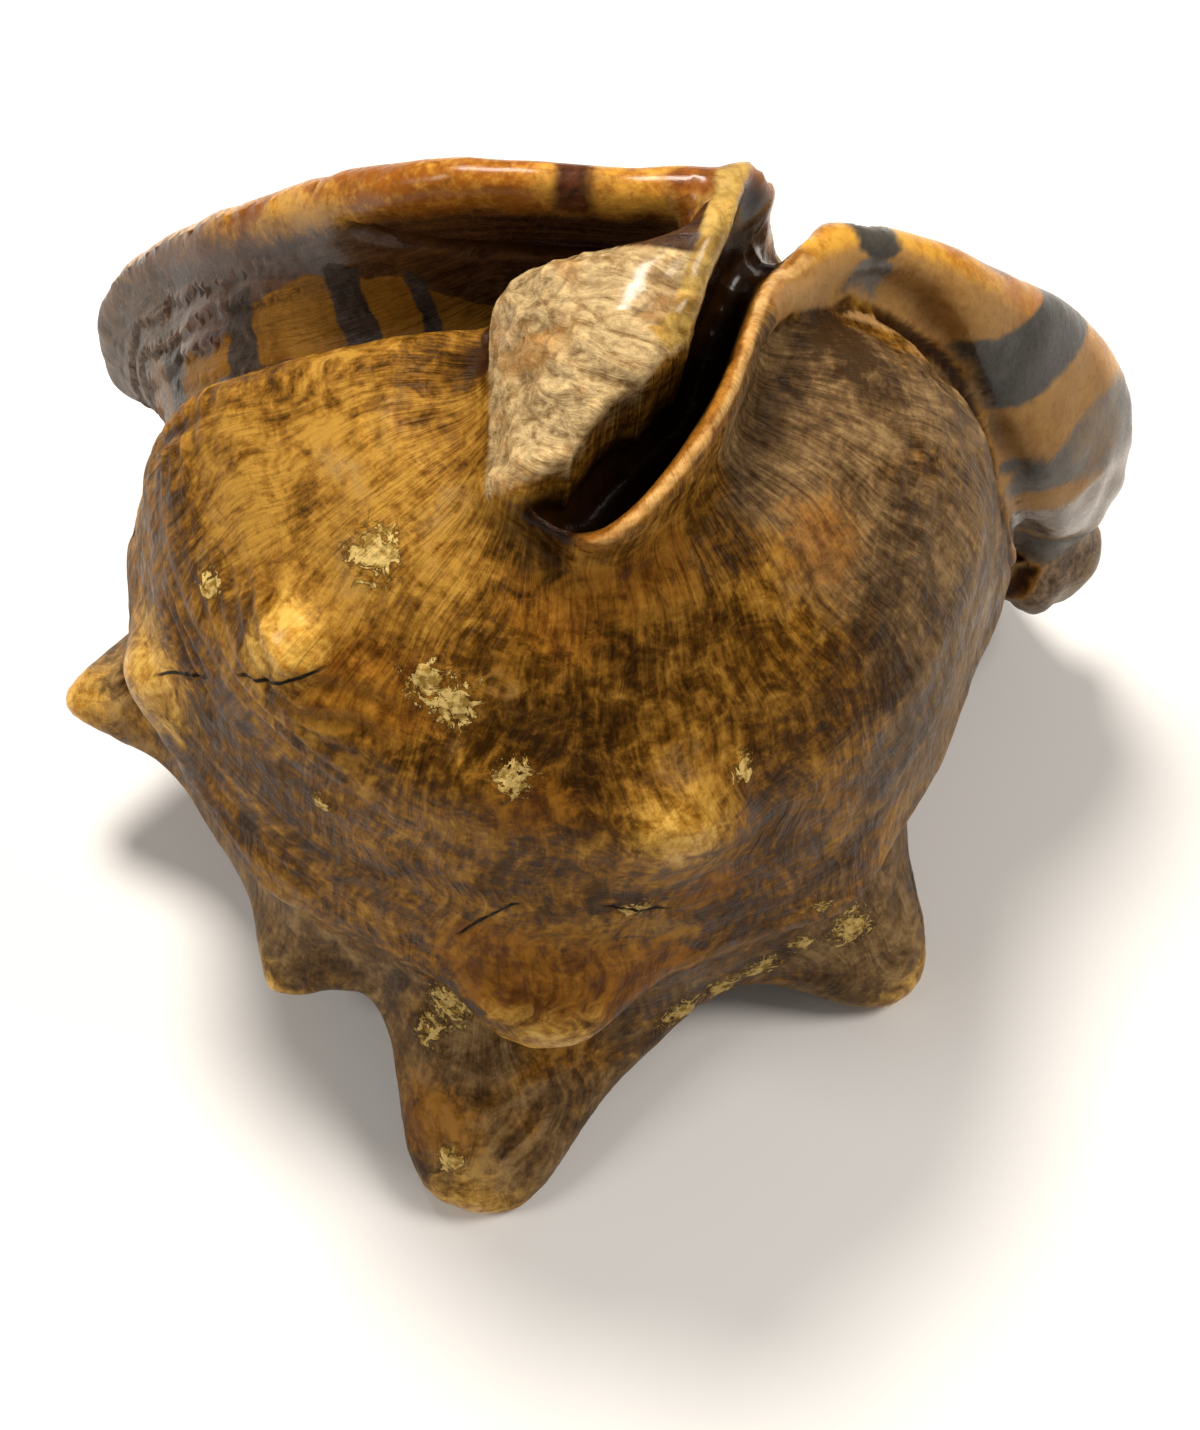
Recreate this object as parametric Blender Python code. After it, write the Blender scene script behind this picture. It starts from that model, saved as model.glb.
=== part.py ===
"""Helmet shell standing on two shoulder knobs and the back edge of its shield: one solid.

The shell frame, in millimetres, has z along the coiling axis towards the canal (the front end),
+x towards the outer lip and +y towards the flat face with the opening. Angles turn from +x to +y,
so the back of the whorl is at 270 degrees. The finished shell is in metres, +Z up, as it rests.
"""

import math

import bmesh
import bpy
import numpy as np
from mathutils import Matrix

NODE = "helmet_shell"
MM = 0.001

# How the shell rests: its front end leans towards -Y and a little towards +X
LEAN_DEG = 10.0
ROLL_DEG = 4.0
FOOT_WEAR = 0.5  # how deep the highest of its three feet is worn flat

# Last whorl: outline of its wall as (radius, z), from the tip of the spire to the front end
WHORL_OUTLINE = (
    (0.5, -20.0), (10, -18.5), (22, -15.5), (36, -11.5), (48, -8.5), (56, -5.0), (59.5, 0.0),
    (61, 12), (61, 30), (59, 50), (55, 70), (47, 86), (37, 96), (27, 101), (15, 101.5), (0.5, 100),
)
# How far the whorl reaches towards the flat face, as (z, on the left, on the right)
WHORL_FRONT = (
    (-30, 36, 36), (0, 40, 40), (30, 35, 37), (50, 27, 33), (70, 16, 35), (85, 9, 28), (100, 5, 14), (112, 3, 8),
)
FLARE = 9.0  # how far the wall swells out where it runs into the outer lip
FLARE_FROM_DEG, FLARE_TO_DEG = 340.0, 374.0

# Spire: earlier whorls, each this much smaller than the next one out
SPIRE_RADIUS = 50.0
WHORL_RATIO = 1.55
SUTURE_RELIEF = 2.6
SPIRE_KNOBS = 9

# Knobs: (angle, z of the base, radius of the tip, z of the tip, width of the base, bluntness)
SHOULDER_KNOBS = (
    (190, 1, 77.0, 1, 8.5, 2.0),
    (234, -1, 70.0, -5, 8.5, 2.0),
    (263.0, -1, 88.5, -7.2, 14.0, 3.7),
    (280, -1, 67.0, -5, 11.0, 2.2),
    (317, -1, 78.5, -9.5, 13.5, 2.8),
)
MIDDLE_KNOBS = (
    (202, 43, 64.5, 48, 7.5, 2.0),
    (231, 37, 63.5, 36, 9.0, 2.2),
    (269, 35, 70.5, 32, 12.0, 3.4),
    (310, 38, 64.5, 38, 10.0, 2.2),
)
FRONT_KNOBS = (
    (223, 84, 49.0, 93, 8.0, 2.0),
    (283, 80, 55.5, 85, 10.0, 3.0),
    (252, 80, 50.5, 85, 9.0, 2.0),
)
SHOULDER_RIDGE = 1.8  # raised cord that joins the knobs of each row
ROW_RIDGE = 1.2
ROW_HEIGHTS = (0.0, 36.0, 79.0)
VALLEY = 1.0  # how hollow the wall is between the rows, on the back
VALLEY_HEIGHTS = (18.0, 58.0)

# Edge of the shield: (x, y, z, half thickness), from the canal's tip round by the outer lip, and the
# root of its back surface under each of those points
SHIELD_EDGE = (
    (16.5, 16.5, 114, 2.6), (28, 18.5, 97, 2.6), (48, 23, 80, 3.5), (68, 27, 53, 5.0), (78, 22, 28, 5.0),
    (80, 16, 6, 5.0), (76, 19, -8, 5.0), (64, 30, -20, 5.0), (42, 42, -25, 5.0), (10, 50, -28.5, 4.8),
    (-24, 51, -30, 4.5), (-50, 50, -25, 4.2), (-66, 45, -8, 4.0), (-69, 41, 12, 3.6), (-65, 37, 38, 3.2),
    (-55, 31, 64, 3.2), (-37, 24, 92, 3.2), (-19, 17.5, 112, 3.0), (3, 16.5, 114, 2.8),
)
SHIELD_ROOTS = (
    (10, 6, 90), (28, 10, 86), (44, 12, 68), (56, 10, 50), (60, 6, 30),
    (58, 4, 8), (54, 8, -6), (38, 18, -12), (24, 26, -15), (6, 30, -17),
    (-14, 30, -17), (-30, 28, -14), (-44, 22, -4), (-50, 12, 16), (-52, 2, 40),
    (-48, -2, 66), (-33, 6, 80), (-20, 7, 83), (-4, 8, 86),
)
SHIELD_CENTRE = (-4.0, 41.0, 24.0)
SHIELD_DOME = 5.0
SHIELD_HOLLOW = 0.35  # how concave the back of the shield is
SHIELD_CORE = (0.0, 4.0, 36.0)

# Turned-back band of the outer lip: (outer edge x, y, z, inner edge x, y, z, half thickness)
LIP_BAND = (
    (17.5, 4.0, 114.5, 19.0, -1, 112, 1.6), (20.4, 10.3, 108.5, 23.5, 6, 104, 2.4),
    (25.4, 17, 103.5, 28.5, 12, 96, 3.0), (31.0, 22.5, 98.5, 33.5, 15.5, 91.5, 3.8),
    (39, 25, 92, 40.5, 16, 85.5, 4.4), (49, 26, 85, 46.5, 14.5, 79, 5.0), (60.5, 29, 72, 51, 12.5, 70.5, 5.5),
    (72, 32, 56, 56, 10, 63, 6.0), (80, 30, 44, 60, 9, 56, 6.2), (83.2, 25.5, 34, 64, 8, 48, 6.2),
    (84.5, 22.5, 23, 69, 9, 35, 5.6), (83.5, 21, 13, 73, 12, 21, 4.4), (86.5, 20.0, 4, 71, 5, 14, 6.0),
    (82, 16.5, -3, 73, 9, 3, 4.4), (77, 17, -8, 74, 14, -5, 3.4),
)
# Furrow between the band's inner edge and the whorl: (x, y, z, radius)
LIP_FURROW = (
    (30, 12.6, 98.4, 1.2), (34, 15, 95, 2.0), (37.7, 16, 92.4, 2.6), (41, 15.6, 89.5, 3.1), (44.7, 14.4, 85.2, 3.3),
    (48.4, 12.4, 80, 3.1), (53.7, 10.7, 70.7, 2.5), (60, 9, 59.5, 1.8), (65, 7.8, 51, 1.2),
)

# Canal: stations from the opening round to its tip on the back, each with the right rim, the left rim,
# the far edge of the rough stub (x, y, z each), z of the slot's floor, the right wall's half thickness,
# how far across the foot of the left wall is, and how far below the rim
CANAL = (
    ((34, 32, 94), (19, 30, 114), (12, 26, 104), 80, 0.2, 0.35, 9),
    ((25.8, 17.5, 103), (17.0, 16.0, 117.5), (12, 14, 114), 86, 0.2, 0.4, 7),
    ((20.8, 10, 108.5), (14.3, 9.5, 119), (7, 8.5, 117), 92, 0.6, 0.4, 6),
    ((18.0, 1.5, 114.5), (11.3, 1.5, 120), (-1, 7.8, 116), 97, 1.1, 0.25, 5),
    ((15.4, -7.0, 117.5), (8.2, -7.5, 121), (-8.5, 8, 113), 100, 1.3, 0.05, 6),
    ((12.3, -14.0, 118), (2.5, -11.3, 120.5), (-12, 4, 109), 101, 1.3, 0.05, 6),
    ((9.0, -19.3, 117), (-0.2, -14.2, 119), (-12.3, -1, 106.5), 101, 1.3, 0.0, 6),
    ((5.2, -23.7, 115.5), (-1.8, -17.0, 117.5), (-12.3, -6, 105), 101.5, 1.3, 0.0, 5),
    ((0.8, -26.6, 113.5), (-3.5, -18.8, 115.5), (-12.3, -10.5, 104.5), 102.5, 1.3, 0.0, 4),
    ((-2.6, -25.4, 112), (-5.8, -19.8, 113.5), (-12.3, -14, 105), 104, 1.3, 0.0, 3),
    ((-7.0, -22.8, 110), (-9.0, -20.2, 111.5), (-12.4, -16.5, 105.5), 107, 1.1, 0.0, 1),
    ((-11.2, -20.6, 107.5), (-12.0, -19.2, 108.5), (-13, -18, 106.5), 107, 0.5, 0.0, 0.5),
)
STUB_DOME = 3.0
CANAL_BASE = 86.0  # z inside the whorl, where the stump's underside ends

# Opening and the hollow behind it: (x, y, half width, middle z, half height, slant), from outside inwards
OPENING = (
    (31.5, 75, 5.4, 52, 66, -0.14), (31.5, 45, 5.2, 52, 64, -0.14), (32, 34, 5.2, 50, 60, -0.13),
    (35, 22, 8.0, 44, 54, -0.08), (40, 8, 12.5, 36, 42, -0.04), (40, -14, 13.5, 34, 38, 0),
    (30, -33, 13, 33, 34, 0), (10, -42, 12, 32, 29, 0), (-14, -40, 10.5, 31, 25, 0),
    (-32, -27, 8.5, 31, 20, 0), (-39, -10, 6, 31, 14, 0),
)
TOOTH_PITCH = 7.6  # along the opening's edges
LIP_TOOTH, FOLD_HEIGHT = 2.0, 1.2
# Thickened inner edge of the outer lip: (x, y, z, half width, half height)
LIP_PAD = ((34, 20, 94, 4, 3), (42, 29, 68, 8, 5), (49, 34, 40, 11, 6), (52, 37, 12, 10, 6), (48, 41, -8, 6, 4.5))

# Meshing
AROUND, ALONG = 200, 110
VOXEL = 1.1
TRIANGLES = 9600


def clear_scene():
    for obj in list(bpy.data.objects):
        bpy.data.objects.remove(obj, do_unlink=True)


def curve_through(points, samples, closed=False):
    """Evenly spaced samples of a smooth curve through the rows of points, in any number of dimensions."""
    knots = np.asarray(points, float)
    count = len(knots)
    if closed:
        padded = np.vstack([knots[-1], knots, knots[:2]])
        spans = count
    else:
        padded = np.vstack([2 * knots[0] - knots[1], knots, 2 * knots[-1] - knots[-2]])
        spans = count - 1
    t = np.linspace(0, spans, spans * 24 + 1)
    i = np.minimum(t.astype(int), spans - 1)
    f = (t - i)[:, None]
    a, b, c, d = (padded[i + k] for k in range(4))
    fine = 0.5 * (2 * b + (c - a) * f + (2 * a - 5 * b + 4 * c - d) * f**2 + (3 * b - a - 3 * c + d) * f**3)
    lengths = np.r_[0, np.cumsum(np.linalg.norm(np.diff(fine, axis=0), axis=1))]
    wanted = np.linspace(0, lengths[-1], samples, endpoint=not closed)
    return np.stack([np.interp(wanted, lengths, column) for column in fine.T], axis=1)


def smoothstep(low, high, x):
    t = np.clip((x - low) / (high - low), 0, 1)
    return t * t * (3 - 2 * t)


def loft(rings):
    """A closed body from rings of equal length, [ring, point, xyz], with a cap on the first and last."""
    count, around = rings.shape[:2]
    ids = np.arange(count * around).reshape(count, around)
    here, there = ids[:-1], ids[1:]
    quads = np.stack([here, np.roll(here, -1, 1), np.roll(there, -1, 1), there], -1).reshape(-1, 4)
    faces = quads.tolist() + [ids[0][::-1].tolist(), ids[-1].tolist()]
    return rings.reshape(-1, 3), faces


def mesh_object(name, bodies):
    """One object from several closed bodies, in metres, with every face pointing out."""
    mesh = bpy.data.meshes.new(name)
    points, faces = [], []
    for body_points, body_faces in bodies:
        start = sum(len(p) for p in points)
        points.append(body_points * MM)
        faces += [[v + start for v in face] for face in body_faces]
    mesh.from_pydata(np.vstack(points).tolist(), [], faces)
    work = bmesh.new()
    work.from_mesh(mesh)
    bmesh.ops.remove_doubles(work, verts=work.verts, dist=1e-6)
    bmesh.ops.recalc_face_normals(work, faces=work.faces)
    work.to_mesh(mesh)
    work.free()
    obj = bpy.data.objects.new(name, mesh)
    bpy.context.scene.collection.objects.link(obj)
    return obj


# The last whorl and the spire

def flare(theta_deg):
    """Extra radius of the wall where it opens into the outer lip."""
    turned = np.where(theta_deg < 180, theta_deg + 360, theta_deg)
    rise = smoothstep(FLARE_FROM_DEG, FLARE_TO_DEG, turned)
    fall = 1 - smoothstep(FLARE_TO_DEG + 10, FLARE_TO_DEG + 60, turned)
    return FLARE * rise * fall


def spire_relief(radius, theta):
    """How far the coils of the spire stand out, from the suture groove to each coil's knobbed crest."""
    coil = np.log(np.maximum(radius, 0.5) / SPIRE_RADIUS) / math.log(WHORL_RATIO) - theta / math.tau
    across = coil - np.floor(coil)
    crest = np.sin(math.pi * across**1.6)
    beads = 1 + 0.35 * np.cos(SPIRE_KNOBS * theta) * smoothstep(0.3, 0.8, across)
    return SUTURE_RELIEF * crest * beads * np.clip(radius / 30, 0.25, 1)


def whorl_body():
    outline = curve_through(WHORL_OUTLINE, ALONG)
    theta = np.linspace(0, math.tau, AROUND, endpoint=False)
    radius, height = outline[:, :1], outline[:, 1:]
    degrees = np.degrees(theta)[None, :]
    fade = smoothstep(20, 55, radius) * (1 - smoothstep(15, 75, height))
    r = radius + flare(degrees) * fade
    z = height + np.zeros_like(r)
    for row, at in enumerate(ROW_HEIGHTS):
        ridge = SHOULDER_RIDGE if row == 0 else ROW_RIDGE
        outer = smoothstep(35, 50, radius)
        r = r + ridge * outer * np.exp(-(((height - at) / 5.0) ** 2))
    back = np.exp(-(((degrees - 250) / 55) ** 4))
    for at in VALLEY_HEIGHTS:
        r = r - VALLEY * back * np.exp(-(((height - at) / 11.0) ** 2))
    on_spire = (height < -4) & (radius < SPIRE_RADIUS + 4)
    edge = 1 - smoothstep(SPIRE_RADIUS - 6, SPIRE_RADIUS + 4, radius)
    z = z - np.where(on_spire, spire_relief(radius, theta[None, :]) * edge, 0)
    points = np.stack([r * np.cos(theta), r * np.sin(theta), z], -1)
    return loft(flatten_front(raise_knobs(points)))


def flatten_front(points):
    """Presses the side towards the flat face in to the reach that WHORL_FRONT gives at each height."""
    x, y, z = points[..., 0], points[..., 1], points[..., 2]
    heights, left, right = np.array(WHORL_FRONT, float).T
    side = smoothstep(-10, 22, x)
    reach = np.interp(z, heights, left) * (1 - side) + np.interp(z, heights, right) * side
    widest = np.hypot(x, y).max(axis=1, keepdims=True)
    pressed = points.copy()
    pressed[..., 1] = np.where(y > 0, y * np.minimum(1, reach / widest), y)
    return pressed


def raise_knobs(points):
    """Pulls the wall out to the tip of each knob, in a bell that fades with distance from its base."""
    moved = points.copy()
    for angle, base_z, tip_r, tip_z, width, blunt in SHOULDER_KNOBS + MIDDLE_KNOBS + FRONT_KNOBS:
        turn = math.radians(angle)
        out = np.array([math.cos(turn), math.sin(turn), 0.0])
        near = np.abs(points - (out * 60 + [0, 0, base_z])).sum(-1) < 60
        line = points[near]
        gap = np.linalg.norm(line - (line @ out)[:, None] * out - [0, 0, base_z], axis=1)
        base_r = (line @ out)[np.argmin(gap)]
        base = out * base_r + [0, 0, base_z]
        pull = out * (tip_r - base_r) + [0, 0, tip_z - base_z]
        distance = np.linalg.norm(points - base, axis=-1)
        moved += np.exp(-((distance / width) ** blunt))[..., None] * pull
    return moved


# The shield and outer lip, one plate with a rounded rim

def shield_body():
    edge_and_root = np.hstack([np.array(SHIELD_EDGE, float), np.array(SHIELD_ROOTS, float)])
    ring = curve_through(edge_and_root, AROUND, closed=True)
    edge, half, root = ring[:, :3], ring[:, 3:4], ring[:, 4:]
    centre, core = np.array(SHIELD_CENTRE), np.array(SHIELD_CORE)
    outward = unit(edge - centre)
    along = np.roll(edge, -1, 0) - np.roll(edge, 1, 0)
    facing = unit(np.cross(along, outward))
    facing *= np.sign(facing[:, 1:2])
    rings = []
    for share in np.linspace(0.02, 0.95, 14):
        dome = np.array([0, SHIELD_DOME * (1 - share**2) ** 2, 0])
        rings.append(centre + (edge + facing * half - centre) * share + dome)
    for turn in np.linspace(90, -90, 9):
        a = math.radians(turn)
        rings.append(edge + half * (facing * math.sin(a) + outward * math.cos(a)))
    back = edge - facing * half
    sag = np.linalg.norm(back - root, axis=1, keepdims=True) * SHIELD_HOLLOW * facing
    for t in np.linspace(0, 1, 12)[1:]:
        rings.append(back + (root - back) * t + sag * t * (1 - t))
    for share in np.linspace(1.0, 0.02, 6)[1:]:
        rings.append(core + (root - core) * share)
    return loft(np.array(rings))


def unit(vectors):
    return vectors / np.linalg.norm(vectors, axis=-1, keepdims=True)


def tube(centre, across, depth, points=24):
    """A closed body swept along centre, with rounded-box sections that reach across and depth each way."""
    turn = np.linspace(0, math.tau, points, endpoint=False)
    c, d = np.cos(turn), np.sin(turn)
    c, d = np.sign(c) * abs(c) ** 0.8, np.sign(d) * abs(d) ** 0.8
    return loft(centre[:, None] + c[:, None] * across[:, None] + d[:, None] * depth[:, None])


def lip_band_body():
    stations = curve_through(LIP_BAND, 70)
    outer, inner, half = stations[:, :3], stations[:, 3:6], stations[:, 6:]
    centre, across = (outer + inner) / 2, (outer - inner) / 2
    along = np.gradient(centre, axis=0)
    return tube(centre, across, unit(np.cross(along, across)) * half)


def lip_furrow():
    stations = curve_through(LIP_FURROW, 60)
    centre, radius = stations[:, :3], stations[:, 3:]
    across = unit(np.cross(np.gradient(centre, axis=0), [0.0, -0.6, 0.8]))
    depth = unit(np.cross(across, np.gradient(centre, axis=0)))
    return tube(centre, across * radius, depth * radius)


def lip_pad_body():
    stations = curve_through(LIP_PAD, 30)
    centre, wide, high = stations[:, :3], stations[:, 3:4], stations[:, 4:]
    along = unit(np.gradient(centre, axis=0))
    up = unit(np.cross(np.cross(along, [0.0, 1.0, 0.25]), along))
    return tube(centre, np.cross(along, up) * wide, up * high)


# The canal: a stump with a rough stub on its left and a slot along its top

def canal_stations(samples):
    rows = [(*right, *left, *stub, *rest) for right, left, stub, *rest in CANAL]
    ring = curve_through(rows, samples)
    return ring[:, 0:3], ring[:, 3:6], ring[:, 6:9], ring[:, 9:]


def stump_body():
    right, left, stub, slot = canal_stations(30)
    up = np.array([0.0, 0.0, 1.0])
    out = unit((right - left) * [1, 1, 0])
    away = unit((stub - left) * [1, 1, 0])
    wall = slot[:, 1:2]
    crest = left * 0.6 + stub * 0.4 + up * STUB_DOME
    brow = left * 0.2 + stub * 0.8 + up * STUB_DOME * 0.8
    outer_base = right + out * (wall + 2)
    stub_base = stub - away
    outer_base[:, 2] = stub_base[:, 2] = CANAL_BASE
    rings = np.stack([
        outer_base, right + out * wall - up * 8, right + out * wall, right + up * wall * 0.5, right - out * wall,
        (right + left) / 2, left, crest, brow, stub, stub - up * 3.5, stub_base,
    ], axis=1)
    return loft(rings[4:])


def canal_slot():
    right, left, _, slot = canal_stations(36)
    up = np.array([0.0, 0.0, 1.0])
    floor, wall, foot, drop = slot.T[:, :, None]
    gap = np.linalg.norm((right - left)[:, :2], axis=1, keepdims=True)
    out = (right - left) * [1, 1, 0] / gap
    wide = np.maximum(gap - wall, 0.5)

    def at(share, z):
        point = left + out * wide * share
        return np.hstack([point[:, :2], z])

    right_z, left_z = right[:, 2:], left[:, 2:]
    rings = np.stack([
        at(1, right_z + 25), at(1, right_z), at(0.9, floor + (right_z - floor) * 0.45),
        at(0.75, floor + (right_z - floor) * 0.1), at(0.6 + foot * 0.5, floor),
        at(0.2 + foot, floor + (left_z - floor) * 0.1), at(foot, left_z - drop), at(0, left_z), at(0, left_z + 25),
    ], axis=1)
    return loft(rings)


# The opening on the flat face and the hollow of the last whorl

def opening_void():
    stations = curve_through(OPENING, 44)
    along = unit(np.gradient(stations[:, :2], axis=0))
    turn = np.linspace(0, math.tau, 260, endpoint=False)
    rings = []
    for (x, y, half, z, tall, slant), (dx, dy) in zip(stations, along):
        side, height = np.cos(turn), tall * np.sin(turn)
        side = np.sign(side) * abs(side) ** 0.7
        edge = smoothstep(24, 34, y) * (1 - smoothstep(0.75, 0.95, abs(height / tall)))
        tooth = (0.5 + 0.5 * np.cos(math.tau * height / TOOTH_PITCH)) ** 2 * edge
        towards_lip = side * -dy
        across = side * half - np.sign(side) * tooth * np.where(towards_lip > 0, LIP_TOOTH, FOLD_HEIGHT)
        rings.append(np.stack([x - dy * across + slant * height, y + dx * across, z + height], -1))
    return loft(np.array(rings))


def pose(x=0.0, y=0.0, ground=0.0):
    """From the shell frame to the way it rests, with this point of the leaning shell brought to the origin."""
    lean = Matrix.Rotation(math.radians(LEAN_DEG), 4, "X")
    roll = Matrix.Rotation(math.radians(ROLL_DEG), 4, "Y")
    return Matrix.Translation((-x, -y, -ground)) @ roll @ lean


def add_modifier(obj, kind, **settings):
    modifier = obj.modifiers.new(kind.title(), kind)
    for key, value in settings.items():
        setattr(modifier, key, value)
    return modifier


def cut(shell, cutter):
    cutter.hide_render = True
    cutter.display_type = "WIRE"
    return add_modifier(shell, "BOOLEAN", operation="DIFFERENCE", solver="EXACT", object=cutter)


def evaluated_mesh(obj):
    """World points of the finished mesh, and how many triangles it has."""
    bpy.context.view_layer.update()
    done = obj.evaluated_get(bpy.context.evaluated_depsgraph_get())
    points = np.empty(len(done.data.vertices) * 3, np.float32)
    done.data.vertices.foreach_get("co", points)
    done.data.calc_loop_triangles()
    world = np.array(obj.matrix_world)
    return points.reshape(-1, 3) @ world[:3, :3].T + world[:3, 3], len(done.data.loop_triangles)


def lowest_feet(points):
    """Lowest height of each of the three places that the shell stands on: two knobs and the back edge."""
    x, y, z = points.T
    back = y > 20 * MM
    left_knob, right_knob = (y < -40 * MM) & (x < 25 * MM), (y < -20 * MM) & (x > 35 * MM)
    return [z[where].min() for where in (left_knob, right_knob, back)]


def shell_material():
    material = bpy.data.materials.new("shell")
    material.use_nodes = True
    surface = material.node_tree.nodes["Principled BSDF"]
    surface.inputs["Base Color"].default_value = (0.27, 0.15, 0.06, 1)
    surface.inputs["Roughness"].default_value = 0.5
    surface.inputs["Metallic"].default_value = 0.0
    return material


def ground_block():
    side = 300.0
    corners = [[x * side, y * side, z] for z in (-60.0, 0.0) for x, y in ((-1, -1), (1, -1), (1, 1), (-1, 1))]
    return mesh_object("ground_cutter", [loft(np.array(corners).reshape(2, 4, 3))])


def build():
    clear_scene()
    bodies = [whorl_body(), shield_body(), lip_band_body(), lip_pad_body(), stump_body()]
    shell = mesh_object(NODE, bodies)
    shell.data.shade_smooth()
    shell.data.materials.append(shell_material())
    voids = {"opening_cutter": opening_void(), "canal_cutter": canal_slot(), "furrow_cutter": lip_furrow()}
    cutters = [mesh_object(name, [void]) for name, void in voids.items()]
    add_modifier(shell, "REMESH", mode="VOXEL", voxel_size=VOXEL * MM)
    add_modifier(shell, "SMOOTH", factor=0.5, iterations=5)
    for cutter in cutters:
        cut(shell, cutter)
    add_modifier(shell, "REMESH", mode="VOXEL", voxel_size=VOXEL * MM)
    add_modifier(shell, "SMOOTH", factor=0.5, iterations=2)
    for obj in [shell, *cutters]:
        obj.matrix_world = pose()
    points, triangles = evaluated_mesh(shell)
    feet = lowest_feet(points)
    middle = (points.min(0) + points.max(0)) / 2
    for obj in [shell, *cutters]:
        obj.matrix_world = pose(middle[0], middle[1], max(feet) + FOOT_WEAR * MM)
    add_modifier(shell, "DECIMATE", ratio=TRIANGLES / triangles)
    cut(shell, ground_block())
    return shell


if __name__ == "__main__":
    build()
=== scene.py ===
"""Looks of the helmet shell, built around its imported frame.

Places and lengths are millimetres in the shell frame that the part was drawn in: z along the coiling
axis towards the canal, +x towards the outer lip, +y towards the flat face with the opening. Angles
turn from +x to +y. Only the stage and the finished mesh are in metres, in the frame's own axes.
"""

import itertools
import math

import bpy
import numpy as np
from mathutils import Matrix, Vector


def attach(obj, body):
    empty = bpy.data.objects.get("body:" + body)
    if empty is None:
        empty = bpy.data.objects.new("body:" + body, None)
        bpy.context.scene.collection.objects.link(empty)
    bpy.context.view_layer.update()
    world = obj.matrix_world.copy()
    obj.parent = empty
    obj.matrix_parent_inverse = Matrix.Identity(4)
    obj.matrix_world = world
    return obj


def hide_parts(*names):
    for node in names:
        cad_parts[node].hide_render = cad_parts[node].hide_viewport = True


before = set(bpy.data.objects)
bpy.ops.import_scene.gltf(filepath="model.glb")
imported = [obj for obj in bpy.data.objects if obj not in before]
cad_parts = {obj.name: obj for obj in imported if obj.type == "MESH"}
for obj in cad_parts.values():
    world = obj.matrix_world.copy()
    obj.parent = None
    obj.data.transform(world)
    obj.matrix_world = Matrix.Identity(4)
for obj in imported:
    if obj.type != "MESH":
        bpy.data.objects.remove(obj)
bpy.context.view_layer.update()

NODE = "helmet_shell"
MM = 0.001

# How the shell rests, and where the origin of the shell frame is then
LEAN_DEG, ROLL_DEG = 10.0, 4.0
SHELL_ORIGIN = (-6.70, 13.63, 24.22)

# Mesh
VOXEL = 1.19
SMOOTHING = 5
HOLLOW_GAIN = 4.5

# Outline of the last whorl's wall as (radius, z), and its reach to the flat face as (z, left, right)
WHORL_OUTLINE = (
    (0.5, -20.0), (10, -18.5), (22, -15.5), (36, -11.5), (48, -8.5), (56, -5.0), (59.5, 0.0), (61, 12),
    (61, 30), (59, 50), (55, 70), (47, 86), (37, 96), (27, 101), (15, 101.5), (0.5, 100),
)
WHORL_FRONT = (
    (-30, 36, 36), (0, 40, 40), (30, 35, 37), (50, 27, 33), (70, 16, 35), (85, 9, 28), (100, 5, 14),
    (112, 3, 8),
)

# Edge of the shield, from the canal's tip round by the outer lip
RIM = (
    (16.5, 16.5, 114), (28, 18.5, 97), (48, 23, 80), (68, 27, 53), (78, 22, 28), (80, 16, 6),
    (76, 19, -8), (64, 30, -20), (42, 42, -25), (10, 50, -28.5), (-24, 51, -30), (-50, 50, -25),
    (-66, 45, -8), (-69, 41, 12), (-65, 37, 38), (-55, 31, 64), (-37, 24, 92), (-19, 17.5, 112),
    (3, 16.5, 114),
)

# Turned-back band of the outer lip: outer edge and inner edge
BAND = (
    (17.5, 4.0, 114.5, 19.0, -1, 112), (20.4, 10.3, 108.5, 23.5, 6, 104), (25.4, 17, 103.5, 28.5, 12, 96),
    (31.0, 22.5, 98.5, 33.5, 15.5, 91.5), (39, 25, 92, 40.5, 16, 85.5), (49, 26, 85, 46.5, 14.5, 79),
    (60.5, 29, 72, 51, 12.5, 70.5), (72, 32, 56, 56, 10, 63), (80, 30, 44, 60, 9, 56),
    (83.2, 25.5, 34, 64, 8, 48), (84.5, 22.5, 23, 69, 9, 35), (83.5, 21, 13, 73, 12, 21),
    (86.5, 20.0, 4, 71, 5, 14), (82, 16.5, -3, 73, 9, 3), (77, 17, -8, 74, 14, -5),
)

# Canal: right rim and left rim, from the opening round to its tip on the back
CANAL = (
    (34, 32, 94, 19, 30, 114), (25.8, 17.5, 103, 17.0, 16.0, 117.5), (20.8, 10, 108.5, 14.3, 9.5, 119),
    (18.0, 1.5, 114.5, 11.3, 1.5, 120), (15.4, -7.0, 117.5, 8.2, -7.5, 121),
    (12.3, -14.0, 118, 2.5, -11.3, 120.5), (9.0, -19.3, 117, -0.2, -14.2, 119),
    (5.2, -23.7, 115.5, -1.8, -17.0, 117.5), (0.8, -26.6, 113.5, -3.5, -18.8, 115.5),
    (-2.6, -25.4, 112, -5.8, -19.8, 113.5), (-7.0, -22.8, 110, -9.0, -20.2, 111.5),
    (-11.2, -20.6, 107.5, -12.0, -19.2, 108.5),
)

# Edge of the stub over the canal, as (share of the canal's length, place across it)
STUB_EDGE = (
    (0.50, 0.03), (0.58, 0.15), (0.65, 0.20), (0.69, 0.07), (0.73, 0.02), (0.81, 0.0), (0.90, 0.07),
    (0.94, 0.25), (0.97, 0.42), (1.0, 0.5),
)

# Turns places so that the stub's wrinkles run along the second axis
STUB_GRAIN = np.array([[0.35, 0.75, 0.0], [0.8, -0.35, 0.2], [0.0, 0.2, 1.0]])

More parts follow.
